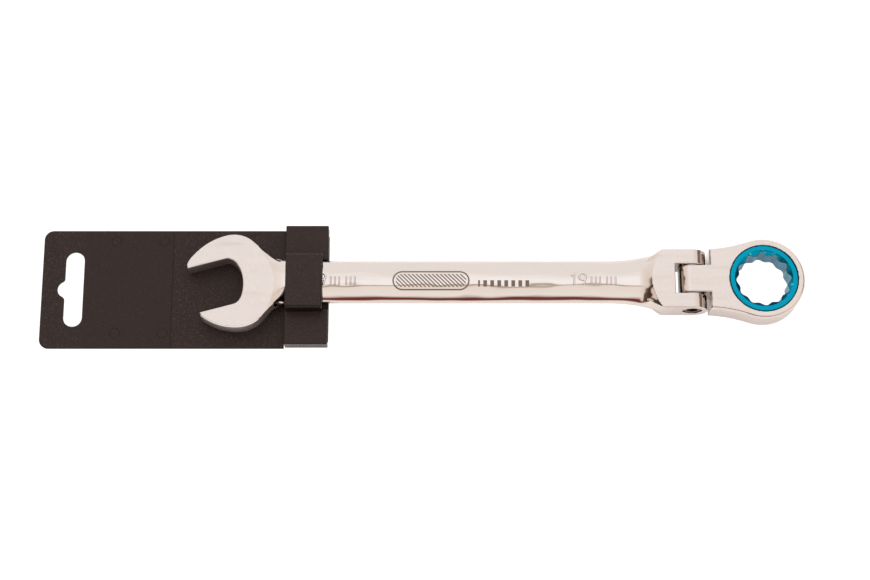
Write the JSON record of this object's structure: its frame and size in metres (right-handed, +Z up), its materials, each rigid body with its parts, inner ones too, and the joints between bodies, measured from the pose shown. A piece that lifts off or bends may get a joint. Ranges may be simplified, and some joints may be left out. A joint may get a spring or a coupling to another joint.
{
  "type": "flex-head ratcheting combination wrench",
  "caption": "Combination wrench with an angled open end and a tilting ratchet ring, clipped in a plastic retail hanger.",
  "frame": {"origin": "on the supporting surface, below the middle of the object's bounding box", "axes": "+X along the wrench from the open end to the ratchet ring, +Z up through the flat faces of the ring"},
  "size_m": [0.3058, 0.05, 0.0126],
  "materials": {
    "chrome_handle": "polished shank, satin faces",
    "chrome_head": "satin faces, polished sides",
    "screw_steel": "dark oxide",
    "spring_steel": "plain",
    "pawl_steel": "hardened, dark",
    "blue_gear": "blue metallic coating",
    "hanger_plastic": "fine spark-eroded texture",
    "clip_plastic": "fine matte moulding"
  },
  "bodies": {
    "handle": {"wrench_body": "chrome_handle", "pivot_screw": "screw_steel", "pivot_washer_front": "spring_steel", "pivot_washer_rear": "spring_steel"},
    "head": {"ratchet_head": "chrome_head", "gear_retaining_ring": "spring_steel", "pawl_spring": "spring_steel"},
    "gear": {"ratchet_gear": "blue_gear"},
    "pawl": {"pawl": "pawl_steel", "spring_pin": "pawl_steel"},
    "hanger": {"hanger_plate": "hanger_plastic"},
    "clip": {"hanger_clip": "clip_plastic"}
  },
  "joints": [
    {"name": "head_tilt", "type": "hinge", "parent": "handle", "child": "head", "pos_m": [0.1081, 0.0011, 0.006], "axis": [0, 1, 0], "range_deg": [-90, 90]},
    {"name": "gear_spin", "type": "hinge", "parent": "head", "child": "gear", "pos_m": [0.1365, 0.0011, 0.006], "axis": [0, 0, 1], "continuous": true},
    {"name": "pawl_slide", "type": "slide", "parent": "head", "child": "pawl", "axis": [-1, 0, 0], "range_m": [0, 0.0008], "stiffness_N_per_m": 400, "springref_m": -0.003, "deforming": ["pawl_spring"]},
    {"name": "hanger_slide", "type": "slide", "parent": "handle", "child": "hanger", "axis": [1, 0, 0], "range_m": [0, 0.09]},
    {"name": "clip_slide", "type": "slide", "parent": "hanger", "child": "clip", "axis": [1, 0, 0], "range_m": [0, 0.02]}
  ]
}
